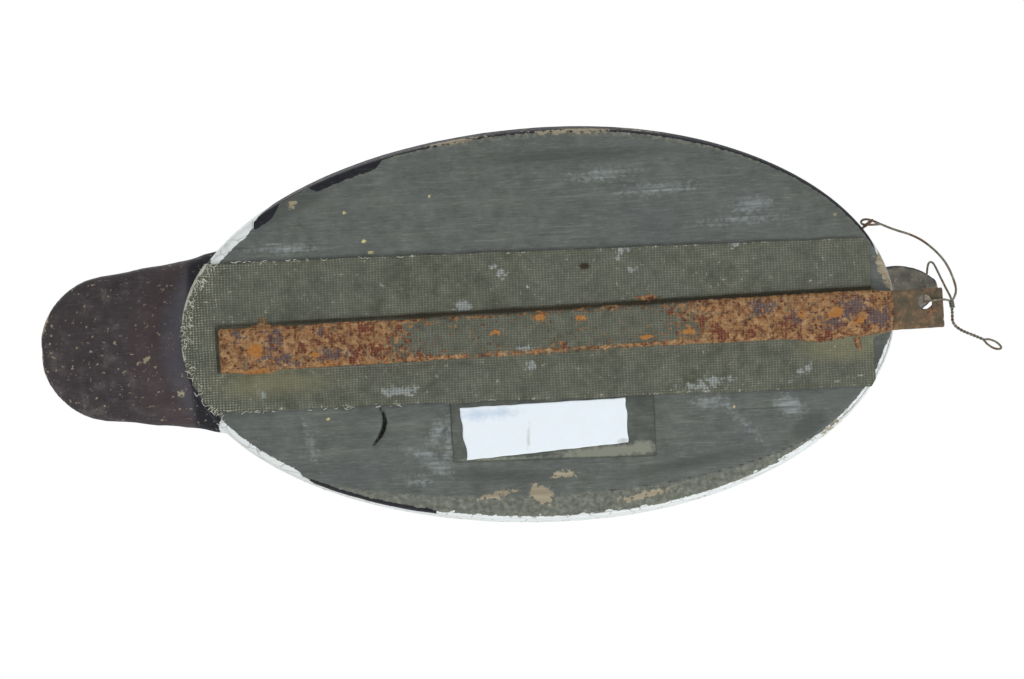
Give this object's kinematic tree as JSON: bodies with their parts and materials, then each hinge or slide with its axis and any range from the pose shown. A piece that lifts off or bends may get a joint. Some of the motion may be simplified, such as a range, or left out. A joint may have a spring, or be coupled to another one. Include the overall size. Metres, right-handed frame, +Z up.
{
  "type": "working duck decoy",
  "caption": "Hollow carved wooden duck decoy with a bottom board, canvas-covered iron ballast bar and a wire tie for the anchor line.",
  "frame": {"origin": "on the decoy's standing surface, the outer face of the canvas under the ballast bar, below the middle of the body's length and centre line", "axes": "+X towards the bill, +Y towards the decoy's left side, +Z up"},
  "size_m": [0.466, 0.193, 0.1695],
  "materials": {
    "body_paint": "worn matt oil paint, white flanks and breast, black back and tail",
    "bottom_paint": "weathered grey-green paint",
    "head_paint": "worn black paint with a white cheek spot",
    "bare_wood": "bare softwood",
    "nail_steel": "rusty",
    "screw_steel": "rusty",
    "wire_steel": "dull, weathered",
    "eye_glass": "yellow glass eye with a black pupil",
    "rusty_iron": "heavily rusted",
    "painted_canvas": "glued down and painted over, rust coming through",
    "painted_cloth": "painted over",
    "white_cloth": "blank cloth tape"
  },
  "bodies": {
    "decoy": {"body_shell": "body_paint", "bottom_board": "bottom_paint", "head": "head_paint", "neck_dowel": "bare_wood", "neck_nails": "nail_steel", "board_nails": "nail_steel", "eye_left": "eye_glass", "eye_right": "eye_glass", "ballast_bar": "rusty_iron", "bar_screws": "screw_steel", "canvas_strip": "painted_canvas", "label_patch": "painted_cloth", "tape_label": "white_cloth", "screw_eye": "wire_steel"},
    "line_tie": {"wire_tie": "wire_steel"}
  },
  "joints": [
    {"name": "line_tie_swing", "type": "hinge", "parent": "decoy", "child": "line_tie", "pos_m": [0.16126, -0.04013, 0.009], "axis": [0.5178, 0.8453, -0.1321], "range_deg": [0, 40]}
  ]
}
